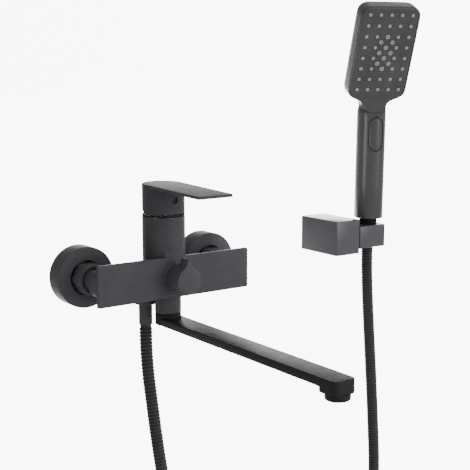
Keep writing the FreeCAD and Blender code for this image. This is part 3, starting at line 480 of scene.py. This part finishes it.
HOSE_RADIUS = 6.8
HOSE_SIDES = 28
HOSE_ROUTE = [
    (-12.0, -30.0, -56.0), (-12.0, -30.0, -78.0), (-11.2, -31.6, -106.0), (-8.6, -34.0, -137.5),
    (-5.0, -36.0, -174.0), (0.0, -38.5, -217.0), (8.5, -41.5, -268.0), (19.0, -44.5, -330.0),
    (37.0, -47.5, -385.0), (66.0, -50.5, -432.0), (106.0, -53.0, -461.0), (154.0, -55.5, -472.0),
    (202.0, -58.0, -460.0), (243.0, -60.0, -428.0), (272.0, -61.0, -380.0), (287.0, -61.3, -326.0),
    (289.5, -60.5, -272.0), (287.0, -58.7, -215.0), (284.9, -56.3, -158.0), (283.1, -52.8, -103.0),
    (281.9, -49.4, -51.0), (281.6, -48.064, -12.5), (281.6, -48.6655, 21.977),
]


def hose_line():
    """Points along the smooth line of the route, in metres."""
    curve = bpy.data.curves.new("hose_line", "CURVE")
    curve.dimensions = "3D"
    curve.resolution_u = 24
    spline = curve.splines.new("NURBS")
    spline.points.add(len(HOSE_ROUTE) - 1)
    for point, place in zip(spline.points, HOSE_ROUTE):
        point.co = (*(Vector(place) * MM), 1)
    spline.order_u = 3
    spline.use_endpoint_u = True
    holder = bpy.data.objects.new("hose_line", curve)
    bpy.context.scene.collection.objects.link(holder)
    bpy.context.view_layer.update()
    mesh = bpy.data.meshes.new_from_object(holder.evaluated_get(bpy.context.evaluated_depsgraph_get()))
    points = [v.co.copy() for v in mesh.vertices]
    bpy.data.objects.remove(holder)
    return points


def along(points):
    """Distance of each point from the first, along the line."""
    reach = [0.0]
    for here, there in zip(points, points[1:]):
        reach.append(reach[-1] + (there - here).length)
    return reach


def sampled(points, distances):
    """(place, direction) at each of these rising distances along the line."""
    reach = along(points)
    out, n = [], 0
    for distance in distances:
        while n < len(reach) - 2 and reach[n + 1] < distance:
            n += 1
        span = reach[n + 1] - reach[n]
        part = min(max((distance - reach[n]) / span, 0), 1)
        place = points[n].lerp(points[n + 1], part)
        before = points[max(n - 1, 0)]
        after = points[min(n + 2, len(points) - 1)]
        out.append((place, (after - before).normalized()))
    return out


def corrugated_hose():
    """The ribbed hose: its radius rises and falls once in each pitch, and is plain where an end is held."""
    points = hose_line()
    total = along(points)[-1]
    # (how far through the pitch, share of the radius)
    wave = [(0.0, 0.86), (0.12, 0.95), (0.3, 1.0), (0.55, 1.0), (0.75, 0.97), (0.9, 0.90)]
    first_pitch, last_pitch = 0.0038, 0.0031
    distances, radii, here = [0.0], [0.93], 0.004
    while here < total - 0.004:
        pitch = first_pitch + (last_pitch - first_pitch) * here / total
        for part, size in wave:
            if here + part * pitch < total - 0.001:
                distances.append(here + part * pitch)
                radii.append(size)
        here += pitch
    distances.append(total)
    radii.append(0.9)
    side = Vector((1, 0, 0))
    rings = []
    for (place, direction), size in zip(sampled(points, distances), radii):
        side = (side - direction * side.dot(direction)).normalized()
        other = direction.cross(side)
        radius = HOSE_RADIUS * MM * size
        rings.append([(place + side * math.cos(a) * radius + other * math.sin(a) * radius) / MM
                      for a in (2 * math.pi * k / HOSE_SIDES for k in range(HOSE_SIDES))])
    tube = piece("corrugated_hose", loft(rings), None, "hose", "hose", "hose_top", sharp=60)
    return tube


hose = corrugated_hose()
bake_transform(hose)

# ---------------------------------------------------------------- wall inlets

COVER = 31.2
COVER_DEPTH = 21.2
NUT_FLATS = 30

for side in ("left", "right"):
    middle = centre("wall_cover_" + side)
    inlet = Matrix.Translation((middle.x, 0, middle.z)) @ OUT
    inside = COVER_DEPTH - 1.6
    cover = [(29.6, 0, 0.3), (COVER, 0, 0.3), (COVER, COVER_DEPTH, 1.0), (17.7, COVER_DEPTH, 0.4),
             (17.7, 13.2, 0.4), (13.3, 13.2, 0.2), (13.3, 11.4, 0.2), (19.3, 11.4, 0.4), (19.3, inside, 0.4),
             (29.6, inside, 0.8)]
    coupling = nut(NUT_FLATS, 20.5, 36, 10.9)
    piece("cover_" + side, lathe(cover, 128), "root", "body", "wall_cover_" + side, place=inlet)
    piece("coupling_nut_" + side, coupling, "root", "body", "union_nut_" + side, place=inlet)

# -------------------------------------------------------------------- casting

plate_low, plate_high = corners("mixer_body")
column_x = centre("bonnet_ring").x / MM
column_y = centre("bonnet_ring").y / MM
level = centre("diverter_housing").z / MM
inlet_x = centre("wall_cover_right").x / MM
COLUMN = 21.9
PLATE_HALF_HEIGHT = 20.9
PLATE_LEVEL = -1.0
PLATE_THICKNESS = 4.5


def flare():
    """The concave web that carries the column's front down into the plate's top edge."""
    front = plate_low.y
    top = PLATE_LEVEL + PLATE_HALF_HEIGHT
    steps = 10
    rings = []
    for n in range(steps + 1):
        part = n / steps
        z = top - 2 + 13 * part
        half = 13.5 - 4.5 * part
        out = front + (column_y - COLUMN - front + 1.5) * (1 - (1 - part) ** 2)
        rings.append([(-half, out + 1.6, z), (-half + 2.5, out + 0.4, z), (0, out, z),
                      (half - 2.5, out + 0.4, z), (half, out + 1.6, z), (half, column_y - 15, z),
                      (-half, column_y - 15, z)])
    return loft(rings)


def casting():
    """The column, the plate across its front, the bar behind it, the spout's collar and the hose's boss."""
    column = lathe([(0, -16), (COLUMN, -16, 2), (COLUMN, plate_high.z, 0.5), (18.95, plate_high.z, 0.3),
                    (18.95, 20), (0, 20)])
    moved(column, shift(column_x, column_y))
    half = plate_high.x
    sides = [(x * half, y * PLATE_HALF_HEIGHT, 1.6) for x, y in ((-1, -1), (1, -1), (1, 1), (-1, 1))]
    plate = slab(sides, 0, PLATE_THICKNESS, 0.7)
    moved(plate, shift(0, plate_low.y + PLATE_THICKNESS, PLATE_LEVEL) @ OUT)
    bar = lathe([(0, -87), (13, -87, 8), (13, 87, 8), (0, 87)])
    moved(bar, shift(0, -54, level) @ ALONG)
    collar = lathe([(9.5, plate_low.z, 0.3), (13.5, plate_low.z, 0.6), (13.5, -8), (9.5, -8)])
    moved(collar, shift(0, centre("spout_slip_washer").y / MM))
    boss = lathe([(0, -16), (11.5, -16, 0.8), (11.5, 5), (0, 5)])
    moved(boss, shift(-12, -30))
    spigots = [moved(lathe([(8.6, 38.5, 0.3), (10.65, 38.5, 0.4), (10.65, 54), (8.6, 54)]),
                     shift(sign * inlet_x, 0, level) @ OUT) for sign in (-1, 1)]
    return join(column, plate, bar, collar, boss, flare(), *spigots)


piece("mixer_casting", casting(), "root", "body", "mixer_body")
# the bonnet ring under the skirt carries painted shade: near black for the shaded groove below the skirt
band_profile = [(19.2, -1, 0.3), (21.7, -1, 0.4), (21.7, 1, 0.4), (19.2, 1, 0.3)]
piece("bonnet_band", lathe(band_profile), "root", "body", "bonnet_ring",
      place=Matrix.Translation(centre("bonnet_ring")), look="shadowed")

# ---------------------------------------------------------------------- lever

LEVER_UNDER = 88.0
LEVER_TOP = 91.0
SKIRT_BOTTOM = 62.2
SKIRT = 21.7                    # radius
LEVER_REACH = 94.5              # from the column's axis
SCREW_LEVEL = 77


def lever_outline():
    """The lever from above, about the column's axis: round at the back, slightly bowed at its end."""
    reach = -LEVER_REACH
    points = []
    for n in range(33):
        angle = math.radians(-8 + 196 * n / 32)
        points.append((SKIRT * math.cos(angle), SKIRT * math.sin(angle)))
    return points + [(-20.2, reach + 0.8, 1.6), (-9, reach + 0.2), (0, reach), (9, reach + 0.2),
                     (20.2, reach + 0.8, 1.6)]


def lever():
    """The flat lever on its round skirt, which is cut away at the back to let the lever lift."""
    top = slab(lever_outline(), LEVER_UNDER, LEVER_TOP, 0.8, 4)
    for vert in top.verts:
        vert.co.z += 1.0 + 2.6 * vert.co.y / LEVER_REACH        # the lever slopes down to its end
    skirt = lathe([(SKIRT, SKIRT_BOTTOM, 0.6), (SKIRT, LEVER_TOP - 1.2), (0, LEVER_TOP - 1.2), (0, 86.5),
                   (18.6, 86.5, 1), (18.6, SKIRT_BOTTOM, 0.4)])
    relief = loft([[(x, -0.5, SKIRT_BOTTOM - 6), (x, 30, SKIRT_BOTTOM - 6), (x, 30, SKIRT_BOTTOM + 12.8),
                    (x, -0.5, SKIRT_BOTTOM - 0.2)] for x in (-30, 30)])
    screw_hole = moved(lathe([(0, 15), (3.9, 15), (3.9, 26), (0, 26)], 48), shift(0, 0, SCREW_LEVEL) @ OUT)
    boss = lathe([(0, 70), (8, 70, 0.5), (8, 87.5), (0, 87.5)], 48)
    return join(carved(skirt, relief, screw_hole), top, boss)


where = Matrix.Translation((column_x * MM, column_y * MM, 0))
piece("lever_arm", lever(), "lever", "trim", "lever_handle", place=where, look="lever")
cap_profile = [(0, 17.2), (3.7, 17.2), (3.7, 19.0, 0.5), (2.3, 19.0, 0.2), (1.7, 18.2), (0, 18.2)]
piece("lever_cap", lathe(cap_profile, 48), "lever", "trim", "lever_plug",
      place=where @ at(0, 0, SCREW_LEVEL) @ OUT)

# ------------------------------------------------------------------- diverter

dial = Matrix.Translation((0, 0, level * MM)) @ OUT
flange_profile = [(3.5, 62), (7.9, 62), (7.9, 71.8), (15.5, 71.8, 0.2), (15.5, 73.2, 0.6), (3.5, 73.2)]
piece("diverter_flange", lathe(flange_profile), "root", "trim", "diverter_housing", place=dial)


def teardrop():
    """The knob's face: a disc that sweeps up into a narrow round-topped tab."""
    radius, half, top = 13.8, 2.6, 21.5
    start = math.radians(52)
    outline = []
    for n in range(57):
        angle = start - (2 * math.pi - (math.pi - 2 * start)) * n / 56
        outline.append(Vector((radius * math.cos(angle), radius * math.sin(angle))))

    def sweep(sign):
        low = Vector((sign * radius * math.cos(start), radius * math.sin(start)))
        pull = Vector((sign * 3.4, 13.4))
        high = Vector((sign * half, 18.4))
        steps = [n / 8 for n in range(1, 9)]
        return [low * (1 - k) ** 2 + pull * 2 * k * (1 - k) + high * k * k for k in steps]

    crown = [Vector((half * -math.cos(a), 18.9 + (top - 18.9) * math.sin(a)))
             for a in (math.pi * n / 10 for n in range(11))]
    return outline + sweep(-1) + crown + sweep(1)[::-1]


knob = join(slab([tuple(p) for p in teardrop()], 83, 96, 0.5, 3),
            lathe([(3.6, 74, 0.2), (13.8, 74, 0.5), (13.8, 90), (3.6, 90)]))
piece("diverter_handle", knob, "diverter", "trim", "diverter_knob", place=dial)

# ---------------------------------------------------------------------- spout

spout_y = centre("spout_slip_washer").y / MM
arm_low, arm_high = corners("spout_arm")
ARM_TOP = -44.6
ARM_BOTTOM = -52.4
ARM_HALF = 12.5


def spout():
    """The flat arm with its deeper nose, and the round root that turns under the collar."""
    far = arm_low.y
    near, heel = spout_y - 4, far + 23.5
    flat = [(-ARM_HALF, near), (-ARM_HALF, far, 6), (ARM_HALF, far, 6), (ARM_HALF, near)]
    deep = [(-ARM_HALF, heel, 5), (-ARM_HALF, far, 6), (ARM_HALF, far, 6), (ARM_HALF, heel, 5)]
    arm = slab(flat, ARM_BOTTOM, ARM_TOP, 0)
    nose = slab(deep, arm_low.z, ARM_BOTTOM + 3, 0)
    arm = crease(united(arm, nose), 0.9)
    root = lathe([(0, ARM_BOTTOM), (13.4, ARM_BOTTOM, 1.0), (13.4, arm_high.z, 0.8), (0, arm_high.z)])
    moved(root, shift(0, spout_y))
    return join(arm, root)


piece("spout_bar", spout(), "spout", "trim", "spout_arm", look="spout")
tip = centre("aerator_housing")
tip.z = 0
aerator_profile = [(7.4, -63.5, 0.4), (11.2, -63.5, 1.6), (11.2, -57.5, 0.3), (8.4, -57.5), (8.4, -53),
                   (7.4, -53)]
piece("aerator_ring", lathe(aerator_profile), "spout", "trim", "aerator_housing",
      place=Matrix.Translation(tip),
      look="spout")

# --------------------------------------------------------------- wall bracket

box_low, box_high = corners("bracket_cover")
hollow = block(box_low + Vector((2.5, 2.5, 2.5)), box_high + Vector((-2.5, 5, -2.5)), 0.3)
piece("bracket_box", carved(block(box_low, box_high, 0.8), hollow), "root", "bracket", "bracket_cover")
hold_low, hold_high = corners("holder_block")
hold_low.z, hold_high.z = -0.5, 25.5
holder_middle = centre("holder_bush")
CONE_FRAME = Matrix.Translation(holder_middle) @ Matrix.Rotation(math.radians(CONE_TILT), 4, "X")
bore = lathe([(0, -25), (12.75, -25), (12.75, 25), (0, 25)])
moved(bore, Matrix.Translation(holder_middle / MM) @ Matrix.Rotation(math.radians(CONE_TILT), 4, "X"))
piece("bracket_holder", carved(block(hold_low, hold_high, 0.8), bore), "holder", "bracket", "holder_block")
bush_profile = [(10.2, -12.1, 0.3), (12.75, -12.1), (12.75, 12.1), (12.1, 12.1, 0.3)]
cone_profile = [(7.2, -13, 0.3), (10.1, -13, 0.6), (12.0, 13, 0.6), (10.55, 13, 0.3), (10.55, 3), (7.2, 3)]
piece("holder_sleeve", lathe(bush_profile), "holder", "plastic", "holder_bush", place=CONE_FRAME,
      look="bracket")
piece("hose_cone", lathe(cone_profile), "cone", "bracket", "cone_nut", place=CONE_FRAME)

# ---------------------------------------------------------------- hand shower

HANDSET = CONE_FRAME @ Matrix.Rotation(math.radians(HANDSET_YAW), 4, "Z")
CHIN = Vector((0, -6, 144.4))
HEAD = HANDSET @ at(*CHIN) @ Matrix.Rotation(math.radians(90 + FACE_TILT), 4, "X")
HANDLE = 16.2                   # radius of the handle
SQUARE = 2.25                   # how far the handle is from round, which would be 2
HEAD_HALF = 35
HEAD_BACK = 21
HEAD_FRONT = -0.15              # just behind the spray face


def threaded_neck():
    """The hand shower's inlet: a thread below, and a plain shoulder that closes the handle."""
    profile = [(7.2, 5.1), (10.3, 5.1)]
    height = 5.6
    while height < 18:
        profile += [(9.7, height), (10.48, height + 0.5), (10.48, height + 0.9), (9.7, height + 1.4)]
        height += 1.8
    profile += [(9.6, 19.9), (13.8, 19.9, 0.3), (13.8, 32.5), (7.2, 32.5)]
    return lathe(profile)


# the neck between the cone and the handle carries painted shade: near black for the shaded gap
piece("handset_neck", threaded_neck(), "handset", "bracket", "handset_inlet", place=HANDSET,
      look="shadowed")


def section(x_half, front, back, power):
    """A rounded cross-section as (across, outward) pairs, reaching front outward and back behind."""
    steps = 72
    out = []
    middle, half = (front + back) / 2, (front - back) / 2
    for n in range(steps):
        angle = 2 * math.pi * n / steps
        c, s = math.cos(angle), math.sin(angle)
        out.append((x_half * math.copysign(abs(c) ** (2 / power), c),
                    middle + half * math.copysign(abs(s) ** (2 / power), s)))
    return out


def bow(up_face):
    """How far the head's front comes out of its plane as it curves down to the chin."""
    return 7.7 * (max(17 - up_face, 0) / 14.2) ** 2


def snapped(point, half, front, back, front_round, back_round):
    """A point near a box's outline moved on to it, the box's front and back corners rounded."""
    x, v = point
    radius = front_round if v > (front + back) / 2 else back_round
    corner_x = half - radius
    corner_v = front - radius if v > (front + back) / 2 else back + radius
    beyond = v - corner_v if v > (front + back) / 2 else corner_v - v
    away_x = abs(x) - corner_x
    if away_x > 0 and beyond > 0:
        scale = radius / math.hypot(away_x, beyond)
        return (math.copysign(corner_x + away_x * scale, x),
                corner_v + math.copysign(beyond * scale, v - corner_v))
    if abs(x) / half > abs(v - (front + back) / 2) / ((front - back) / 2):
        return math.copysign(half, x), v
    return x, front if v > (front + back) / 2 else back


def shell_rings():
    """The shell from the bottom of the handle to the top of the head, with a scoop above the button."""
    rings = []
    foot = [(20.5, HANDLE - 0.9), (20.8, HANDLE - 0.3)]
    straight = [(height, HANDLE) for height in (21.4, 60, 100, 128, 136, 137.8)]
    for height, radius in foot + straight:
        rings.append([(x, -v, height) for x, v in section(radius, radius, -radius, SQUARE)])
    for height, reach in ((138.8, 15.3), (140.0, 14.4), (141.6, 13.4), (143.2, 12.9)):
        rings.append([(x, -min(v, reach), height) for x, v in section(HANDLE, HANDLE, -HANDLE, SQUARE)])
    lean = math.radians(FACE_TILT)
    up = Vector((0, -math.sin(lean), math.cos(lean)))
    outward = Vector((0, -math.cos(lean), -math.sin(lean)))
    # (height up the head, half width, front, how far back, how square)
    levels = [
        (4, 15.5, -0.8, 20.0, 0.0), (6, 15.7, -0.4, 20.5, 0.1), (8, 16.1, -0.25, 20.8, 0.18),
        (10, 17.2, HEAD_FRONT, HEAD_BACK, 0.3), (12, 19.4, HEAD_FRONT, HEAD_BACK, 0.45),
        (13.6, 22.3, HEAD_FRONT, HEAD_BACK, 0.6), (15, 25.8, HEAD_FRONT, HEAD_BACK, 0.75),
        (16.5, 29.0, HEAD_FRONT, HEAD_BACK, 0.9), (18.5, 31.8, HEAD_FRONT, HEAD_BACK, 1),
        (21, 33.6, HEAD_FRONT, HEAD_BACK, 1), (24, 34.6, HEAD_FRONT, HEAD_BACK, 1),
        (28, HEAD_HALF, HEAD_FRONT, HEAD_BACK, 1), (60, HEAD_HALF, HEAD_FRONT, HEAD_BACK, 1),
        (100, HEAD_HALF, HEAD_FRONT, HEAD_BACK, 1), (111, HEAD_HALF, HEAD_FRONT, HEAD_BACK, 1),
        (115.5, 34.6, HEAD_FRONT, HEAD_BACK, 1), (118.6, 33.5, HEAD_FRONT, HEAD_BACK, 1),
        (120.8, 31.9, -0.3, 20.8, 1), (122.4, 30.0, -0.8, 20.2, 1), (123.5, 28.0, -1.5, 19.2, 1),
        (124.1, 26.2, -2.5, 18.0, 1), (124.2, 25.2, -3.2, 17.2, 1),
    ]
    for u, half, front, back, square in levels:
        front += bow(u)
        ring = []
        for point in section(half, front, -back, 2.6 + 6 * square):
            boxed = Vector(snapped(point, half, front, -back, 2.2, 5.5))
            x, v = Vector(point).lerp(boxed, square)
            ring.append(CHIN + Vector((x, 0, 0)) + up * u + outward * v)
        rings.append(ring)
    return rings


def bridge_between(rings, at_index, steps):
    """Extra rings eased between ring at_index and the next, for a smooth neck."""
    low = [Vector(p) for p in rings[at_index]]
    high = [Vector(p) for p in rings[at_index + 1]]
    before = [Vector(p) for p in rings[at_index - 1]]
    after = [Vector(p) for p in rings[at_index + 2]]
    added = []
    for k in range(1, steps):
        f = k / steps
        h00, h10 = 2 * f ** 3 - 3 * f ** 2 + 1, f ** 3 - 2 * f ** 2 + f
        h01, h11 = -2 * f ** 3 + 3 * f ** 2, f ** 3 - f ** 2
        ring = []
        for a, b, c, d in zip(before, low, high, after):
            span = (c - b).length
            out_slope = (b - a).normalized() * span
            in_slope = (d - c).normalized() * span
            ring.append(b * h00 + out_slope * h10 + c * h01 + in_slope * h11)
        added.append(ring)
    return rings[:at_index + 1] + added + rings[at_index + 1:]


BUTTON_LEVEL, BUTTON_HALF, BUTTON_LONG = 118.5, 8.2, 19.0


def button_outline(grow=0.0):
    """The button from the front: a round-ended slot, as (across, height) about its middle."""
    outline = []
    for sign, first in ((1, 0), (-1, 180)):
        for n in range(17):
            angle = math.radians(first + 180 * n / 16)
            outline.append(((BUTTON_HALF + grow) * math.cos(angle),
                            sign * (BUTTON_LONG - BUTTON_HALF) + (BUTTON_HALF + grow) * math.sin(angle)))
    return outline


pocket = loft([[(x, -reach, BUTTON_LEVEL + z) for x, z in button_outline(0.6)] for reach in (9, 20)])
piece("handset_body", carved(loft(bridge_between(shell_rings(), 11, 4)), pocket), "handset", "handset",
      "handset_shell", place=HANDSET, sharp=50)


def face_outline(inset):
    """The spray face from the front, drawn in by the inset, from the chin up."""
    half = [(12.2, 3.2), (12.5, 6.5, 3), (14.3, 11.0, 4), (19.0, 14.8, 6), (27.5, 17.8, 6), (31.0, 21, 6),
            (31.9, 28, 6), (31.9, 114), (30.6, 118.4, 5), (27.6, 120.6, 5), (23, 121.1, 5)]
    right = [(x - inset, y - (inset if y > 100 else 0), *rest) for x, y, *rest in half]
    left = [(-x, y, *rest) for x, y, *rest in reversed(right)]
    return right + left + [(-7, 2.5), (0, 2.2), (7, 2.5)]


def face_sheet(inset, low, high, edge):
    """A sheet in the face's outline, curved at the chin."""
    made = slab(face_outline(inset), low, high, edge)
    for step in range(10):              # strips across the chin, so that it can bend
        whole = made.verts[:] + made.edges[:] + made.faces[:]
        bmesh.ops.bisect_plane(made, geom=whole, plane_co=(0, 3.5 + 1.5 * step, 0), plane_no=(0, 1, 0))
    for vert in made.verts:
        vert.co.z += bow(vert.co.y)
    return made


piece("handset_face", face_sheet(0, -2.6, 0, 0.3), "handset", "face", "face_plate", place=HEAD)


def nozzle_places():
    """Every nozzle as (across, row, large): a grid of five by eight, with a large cluster in the middle."""
    places = []
    for row in range(8):
        for column in range(-2, 3):
            places.append((column, row, column == 0 and 2 <= row <= 5))
    places += [(sign * 0.54, row + 0.5, True) for row in (2, 3, 4) for sign in (-1, 1)]
    return places


NOZZLE_PITCH = 12.57
NOZZLE_FIRST = 27.1
LARGE = 2.55                    # radius of a round nozzle
SMALL = 1.75                    # half the side of a square one


def nozzles():
    """The soft mat behind the face, with each nozzle standing through it."""
    made = face_sheet(1.5, -4.3, -2.7, 0)
    pegs = []
    for across, row, large in nozzle_places():
        spot = shift(across * NOZZLE_PITCH, NOZZLE_FIRST + row * NOZZLE_PITCH, 0)
        if large:
            rim = [(0, -3), (LARGE, -3), (LARGE, 0.9, 0.35), (1.2, 0.9, 0.15), (1.2, 0.1), (0, 0.1)]
            peg = lathe(rim, 24, 2)
        else:
            sides = [(x * SMALL, y * SMALL, 0.5) for x, y in ((-1, -1), (1, -1), (1, 1), (-1, 1))]
            peg = slab(sides, -3, 0.9, 0.3, 2, 2)
        pegs.append(moved(peg, spot))
    return join(made, *pegs)


piece("handset_nozzles", nozzles(), "handset", "nozzle", "nozzle_mat", place=HEAD)


def button():
    """The mode button, its front following the handle's curve and standing just proud of it."""
    # (drawn in by, height above the handle)
    rings = []
    for inset, rise in ((0, -3.7), (0, -0.5), (0.35, 0.2), (1.0, 0.6), (3.0, 0.75), (6.0, 0.8)):
        ring = []
        for x, z in button_outline():
            across = x * (BUTTON_HALF - inset) / BUTTON_HALF
            along = z - math.copysign(min(inset, abs(z)), z) * 0.9
            sag = HANDLE - math.sqrt(HANDLE ** 2 - across ** 2) if rise > -1 else 0
            ring.append((across, sag - HANDLE - rise, BUTTON_LEVEL + along))
        rings.append(ring)
    return loft(rings)


piece("handset_button", button(), "button", "handset", "mode_button", place=HANDSET)
